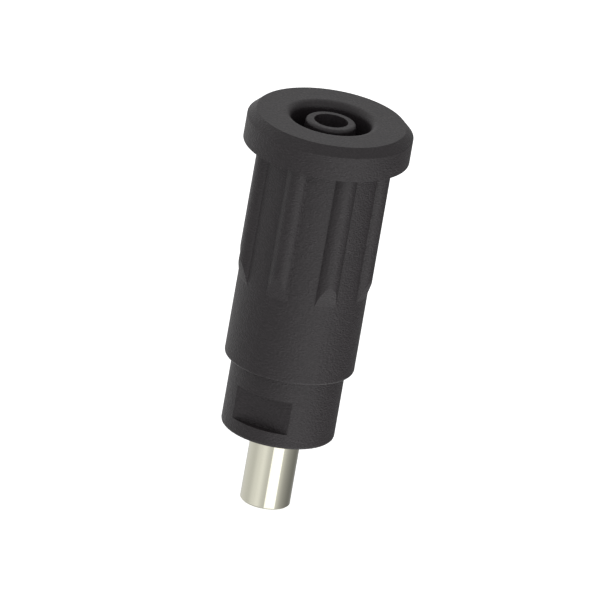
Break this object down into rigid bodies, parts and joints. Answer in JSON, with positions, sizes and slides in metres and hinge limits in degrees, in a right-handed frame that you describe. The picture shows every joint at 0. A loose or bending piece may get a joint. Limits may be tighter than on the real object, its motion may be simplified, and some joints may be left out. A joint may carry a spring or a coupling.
{
  "type": "banana socket",
  "caption": "Touch-proof 4 mm banana socket: flanged and ribbed grip round a shrouded nose, a collar with a flat window, and a plain 6 mm connection pin.",
  "frame": {"origin": "centre of the pin's free end", "axes": "+Z along the common axis from the pin's end to the mouth; the collar's flat window looks along -Y"},
  "size_m": [0.02, 0.02, 0.0495],
  "materials": {
    "grip_plastic": "black polyamide, fine spark-eroded grain",
    "carrier_plastic": "black polyamide, fine spark-eroded grain",
    "nickel_plated_brass": "bright nickel plate on turned brass"
  },
  "bodies": {
    "root": {"grip_sleeve": "grip_plastic", "contact_carrier": "carrier_plastic", "contact": "nickel_plated_brass"}
  },
  "joints": []
}
